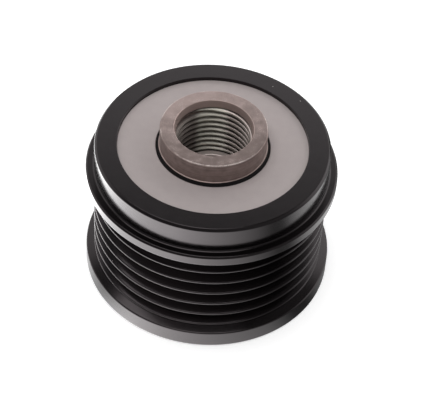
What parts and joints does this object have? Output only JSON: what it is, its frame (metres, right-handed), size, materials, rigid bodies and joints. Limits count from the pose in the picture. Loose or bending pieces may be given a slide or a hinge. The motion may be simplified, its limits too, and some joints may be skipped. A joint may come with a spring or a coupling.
{
  "type": "overrunning alternator pulley",
  "caption": "Grooved belt pulley with a one-way roller clutch between its rim and a threaded hub, for driving an alternator shaft.",
  "frame": {"origin": "centre of the front face, which the pulley stands on", "axes": "+Z along the shaft axis towards the alternator; X and Y are square to it"},
  "size_m": [0.057, 0.057, 0.0411],
  "materials": {
    "rim_black": "black satin coating on turned steel",
    "hub_steel": "turned steel with a warm grey phosphate tone",
    "cover_grey": "matt light grey, finely blasted",
    "seal_rubber": "black rubber",
    "cap_plastic": "black moulded plastic",
    "race_steel": "ground bearing steel",
    "ball_steel": "polished bearing steel",
    "ball_cage_plastic": "natural glass-filled nylon",
    "clutch_cage_plastic": "black glass-filled nylon",
    "spring_steel": "bright spring strip"
  },
  "bodies": {
    "rim": {"pulley_rim": "rim_black", "rear_cover": "cover_grey", "rear_seal": "seal_rubber", "front_cap": "cap_plastic", "rear_outer_race": "race_steel", "rear_outer_shield": "seal_rubber", "rear_inner_shield": "seal_rubber", "front_outer_race": "race_steel", "front_outer_shield": "seal_rubber", "front_inner_shield": "seal_rubber", "clutch_sleeve": "race_steel", "clutch_cage": "clutch_cage_plastic", "clutch_spring_1": "spring_steel", "clutch_spring_2": "spring_steel", "clutch_spring_3": "spring_steel", "clutch_spring_4": "spring_steel", "clutch_spring_5": "spring_steel", "clutch_spring_6": "spring_steel", "clutch_spring_7": "spring_steel", "clutch_spring_8": "spring_steel"},
    "hub": {"hub": "hub_steel", "rear_inner_race": "race_steel", "front_inner_race": "race_steel"},
    "rear_ball_cage": {"rear_ball_cage": "ball_cage_plastic"},
    "rear_ball_1": {"rear_ball_1": "ball_steel"},
    "rear_ball_2": {"rear_ball_2": "ball_steel"},
    "rear_ball_3": {"rear_ball_3": "ball_steel"},
    "rear_ball_4": {"rear_ball_4": "ball_steel"},
    "rear_ball_5": {"rear_ball_5": "ball_steel"},
    "rear_ball_6": {"rear_ball_6": "ball_steel"},
    "rear_ball_7": {"rear_ball_7": "ball_steel"},
    "rear_ball_8": {"rear_ball_8": "ball_steel"},
    "rear_ball_9": {"rear_ball_9": "ball_steel"},
    "front_ball_cage": {"front_ball_cage": "ball_cage_plastic"},
    "front_ball_1": {"front_ball_1": "ball_steel"},
    "front_ball_2": {"front_ball_2": "ball_steel"},
    "front_ball_3": {"front_ball_3": "ball_steel"},
    "front_ball_4": {"front_ball_4": "ball_steel"},
    "front_ball_5": {"front_ball_5": "ball_steel"},
    "front_ball_6": {"front_ball_6": "ball_steel"},
    "front_ball_7": {"front_ball_7": "ball_steel"},
    "front_ball_8": {"front_ball_8": "ball_steel"},
    "front_ball_9": {"front_ball_9": "ball_steel"},
    "clutch_roller_1": {"clutch_roller_1": "ball_steel"},
    "clutch_roller_2": {"clutch_roller_2": "ball_steel"},
    "clutch_roller_3": {"clutch_roller_3": "ball_steel"},
    "clutch_roller_4": {"clutch_roller_4": "ball_steel"},
    "clutch_roller_5": {"clutch_roller_5": "ball_steel"},
    "clutch_roller_6": {"clutch_roller_6": "ball_steel"},
    "clutch_roller_7": {"clutch_roller_7": "ball_steel"},
    "clutch_roller_8": {"clutch_roller_8": "ball_steel"}
  },
  "joints": [
    {"name": "hub_spin", "type": "hinge", "parent": "rim", "child": "hub", "pos_m": [0, 0, 0.02], "axis": [0, 0, 1], "continuous": true},
    {"name": "rear_cage_spin", "type": "hinge", "parent": "rim", "child": "rear_ball_cage", "pos_m": [0, 0, 0.0298], "axis": [0, 0, 1], "continuous": true},
    {"name": "rear_ball_1_spin", "type": "hinge", "parent": "rear_ball_cage", "child": "rear_ball_1", "pos_m": [0.01283, 0.01077, 0.0298], "axis": [0, 0, 1], "continuous": true},
    {"name": "rear_ball_2_spin", "type": "hinge", "parent": "rear_ball_cage", "child": "rear_ball_2", "pos_m": [0.00291, 0.0165, 0.0298], "axis": [0, 0, 1], "continuous": true},
    {"name": "rear_ball_3_spin", "type": "hinge", "parent": "rear_ball_cage", "child": "rear_ball_3", "pos_m": [-0.00838, 0.01451, 0.0298], "axis": [0, 0, 1], "continuous": true},
    {"name": "rear_ball_4_spin", "type": "hinge", "parent": "rear_ball_cage", "child": "rear_ball_4", "pos_m": [-0.01574, 0.00573, 0.0298], "axis": [0, 0, 1], "continuous": true},
    {"name": "rear_ball_5_spin", "type": "hinge", "parent": "rear_ball_cage", "child": "rear_ball_5", "pos_m": [-0.01574, -0.00573, 0.0298], "axis": [0, 0, 1], "continuous": true},
    {"name": "rear_ball_6_spin", "type": "hinge", "parent": "rear_ball_cage", "child": "rear_ball_6", "pos_m": [-0.00838, -0.01451, 0.0298], "axis": [0, 0, 1], "continuous": true},
    {"name": "rear_ball_7_spin", "type": "hinge", "parent": "rear_ball_cage", "child": "rear_ball_7", "pos_m": [0.00291, -0.0165, 0.0298], "axis": [0, 0, 1], "continuous": true},
    {"name": "rear_ball_8_spin", "type": "hinge", "parent": "rear_ball_cage", "child": "rear_ball_8", "pos_m": [0.01283, -0.01077, 0.0298], "axis": [0, 0, 1], "continuous": true},
    {"name": "rear_ball_9_spin", "type": "hinge", "parent": "rear_ball_cage", "child": "rear_ball_9", "pos_m": [0.01675, 0, 0.0298], "axis": [0, 0, 1], "continuous": true},
    {"name": "front_cage_spin", "type": "hinge", "parent": "rim", "child": "front_ball_cage", "pos_m": [0, 0, 0.0078], "axis": [0, 0, 1], "continuous": true},
    {"name": "front_ball_1_spin", "type": "hinge", "parent": "front_ball_cage", "child": "front_ball_1", "pos_m": [0.01283, 0.01077, 0.0078], "axis": [0, 0, 1], "continuous": true},
    {"name": "front_ball_2_spin", "type": "hinge", "parent": "front_ball_cage", "child": "front_ball_2", "pos_m": [0.00291, 0.0165, 0.0078], "axis": [0, 0, 1], "continuous": true},
    {"name": "front_ball_3_spin", "type": "hinge", "parent": "front_ball_cage", "child": "front_ball_3", "pos_m": [-0.00838, 0.01451, 0.0078], "axis": [0, 0, 1], "continuous": true},
    {"name": "front_ball_4_spin", "type": "hinge", "parent": "front_ball_cage", "child": "front_ball_4", "pos_m": [-0.01574, 0.00573, 0.0078], "axis": [0, 0, 1], "continuous": true},
    {"name": "front_ball_5_spin", "type": "hinge", "parent": "front_ball_cage", "child": "front_ball_5", "pos_m": [-0.01574, -0.00573, 0.0078], "axis": [0, 0, 1], "continuous": true},
    {"name": "front_ball_6_spin", "type": "hinge", "parent": "front_ball_cage", "child": "front_ball_6", "pos_m": [-0.00838, -0.01451, 0.0078], "axis": [0, 0, 1], "continuous": true},
    {"name": "front_ball_7_spin", "type": "hinge", "parent": "front_ball_cage", "child": "front_ball_7", "pos_m": [0.00291, -0.0165, 0.0078], "axis": [0, 0, 1], "continuous": true},
    {"name": "front_ball_8_spin", "type": "hinge", "parent": "front_ball_cage", "child": "front_ball_8", "pos_m": [0.01283, -0.01077, 0.0078], "axis": [0, 0, 1], "continuous": true},
    {"name": "front_ball_9_spin", "type": "hinge", "parent": "front_ball_cage", "child": "front_ball_9", "pos_m": [0.01675, 0, 0.0078], "axis": [0, 0, 1], "continuous": true},
    {"name": "clutch_roller_1_spin", "type": "hinge", "parent": "rim", "child": "clutch_roller_1", "pos_m": [0.01169, 0.01169, 0.0188], "axis": [0, 0, 1], "continuous": true},
    {"name": "clutch_roller_2_spin", "type": "hinge", "parent": "rim", "child": "clutch_roller_2", "pos_m": [0, 0.01653, 0.0188], "axis": [0, 0, 1], "continuous": true},
    {"name": "clutch_roller_3_spin", "type": "hinge", "parent": "rim", "child": "clutch_roller_3", "pos_m": [-0.01169, 0.01169, 0.0188], "axis": [0, 0, 1], "continuous": true},
    {"name": "clutch_roller_4_spin", "type": "hinge", "parent": "rim", "child": "clutch_roller_4", "pos_m": [-0.01653, 0, 0.0188], "axis": [0, 0, 1], "continuous": true},
    {"name": "clutch_roller_5_spin", "type": "hinge", "parent": "rim", "child": "clutch_roller_5", "pos_m": [-0.01169, -0.01169, 0.0188], "axis": [0, 0, 1], "continuous": true},
    {"name": "clutch_roller_6_spin", "type": "hinge", "parent": "rim", "child": "clutch_roller_6", "pos_m": [0, -0.01653, 0.0188], "axis": [0, 0, 1], "continuous": true},
    {"name": "clutch_roller_7_spin", "type": "hinge", "parent": "rim", "child": "clutch_roller_7", "pos_m": [0.01169, -0.01169, 0.0188], "axis": [0, 0, 1], "continuous": true},
    {"name": "clutch_roller_8_spin", "type": "hinge", "parent": "rim", "child": "clutch_roller_8", "pos_m": [0.01653, 0, 0.0188], "axis": [0, 0, 1], "continuous": true}
  ],
  "couplings": [
    {"joint": "rear_cage_spin", "follows": "hub_spin", "ratio": 0.41791},
    {"joint": "rear_ball_1_spin", "follows": "hub_spin", "ratio": -2.9634},
    {"joint": "rear_ball_2_spin", "follows": "hub_spin", "ratio": -2.9634},
    {"joint": "rear_ball_3_spin", "follows": "hub_spin", "ratio": -2.9634},
    {"joint": "rear_ball_4_spin", "follows": "hub_spin", "ratio": -2.9634},
    {"joint": "rear_ball_5_spin", "follows": "hub_spin", "ratio": -2.9634},
    {"joint": "rear_ball_6_spin", "follows": "hub_spin", "ratio": -2.9634},
    {"joint": "rear_ball_7_spin", "follows": "hub_spin", "ratio": -2.9634},
    {"joint": "rear_ball_8_spin", "follows": "hub_spin", "ratio": -2.9634},
    {"joint": "rear_ball_9_spin", "follows": "hub_spin", "ratio": -2.9634},
    {"joint": "front_cage_spin", "follows": "hub_spin", "ratio": 0.41791},
    {"joint": "front_ball_1_spin", "follows": "hub_spin", "ratio": -2.9634},
    {"joint": "front_ball_2_spin", "follows": "hub_spin", "ratio": -2.9634},
    {"joint": "front_ball_3_spin", "follows": "hub_spin", "ratio": -2.9634},
    {"joint": "front_ball_4_spin", "follows": "hub_spin", "ratio": -2.9634},
    {"joint": "front_ball_5_spin", "follows": "hub_spin", "ratio": -2.9634},
    {"joint": "front_ball_6_spin", "follows": "hub_spin", "ratio": -2.9634},
    {"joint": "front_ball_7_spin", "follows": "hub_spin", "ratio": -2.9634},
    {"joint": "front_ball_8_spin", "follows": "hub_spin", "ratio": -2.9634},
    {"joint": "front_ball_9_spin", "follows": "hub_spin", "ratio": -2.9634},
    {"joint": "clutch_roller_1_spin", "follows": "hub_spin", "ratio": -10},
    {"joint": "clutch_roller_2_spin", "follows": "hub_spin", "ratio": -10},
    {"joint": "clutch_roller_3_spin", "follows": "hub_spin", "ratio": -10},
    {"joint": "clutch_roller_4_spin", "follows": "hub_spin", "ratio": -10},
    {"joint": "clutch_roller_5_spin", "follows": "hub_spin", "ratio": -10},
    {"joint": "clutch_roller_6_spin", "follows": "hub_spin", "ratio": -10},
    {"joint": "clutch_roller_7_spin", "follows": "hub_spin", "ratio": -10},
    {"joint": "clutch_roller_8_spin", "follows": "hub_spin", "ratio": -10}
  ]
}
